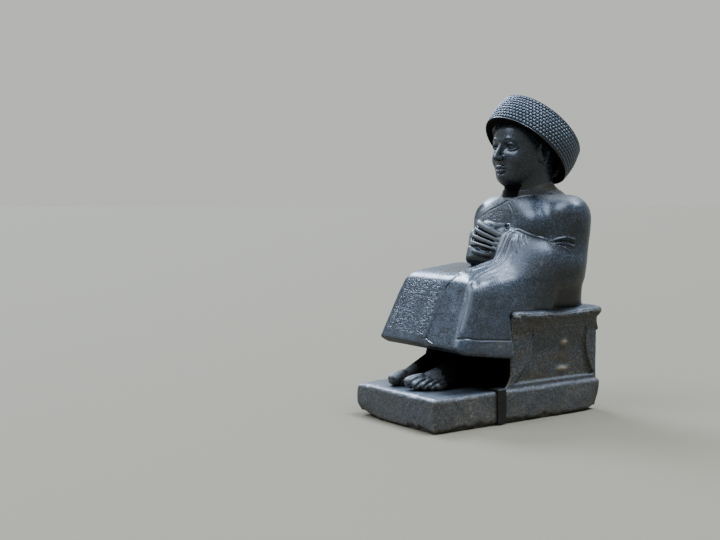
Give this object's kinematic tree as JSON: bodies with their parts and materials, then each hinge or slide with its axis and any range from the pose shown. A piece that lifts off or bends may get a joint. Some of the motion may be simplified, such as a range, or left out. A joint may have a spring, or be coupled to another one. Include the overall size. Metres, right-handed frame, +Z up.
{
  "type": "seated ruler statue",
  "caption": "Seated ruler in dark polished stone: round headdress covered in curls, wrapped robe, clasped hands, low block stool and slab base, with a metal display clip.",
  "frame": {"origin": "centre of the slab's flat underside", "axes": "+Z up, -Y the way the figure faces, +X the figure's own left side, where the robe covers the arm"},
  "size_m": [0.2174, 0.3088, 0.4398],
  "materials": {
    "diorite": "polished, with a matt pecked surface on the stool and slab",
    "clip_metal": "dull"
  },
  "bodies": {
    "root": {"statue": "diorite", "display_clip": "clip_metal"}
  },
  "joints": []
}
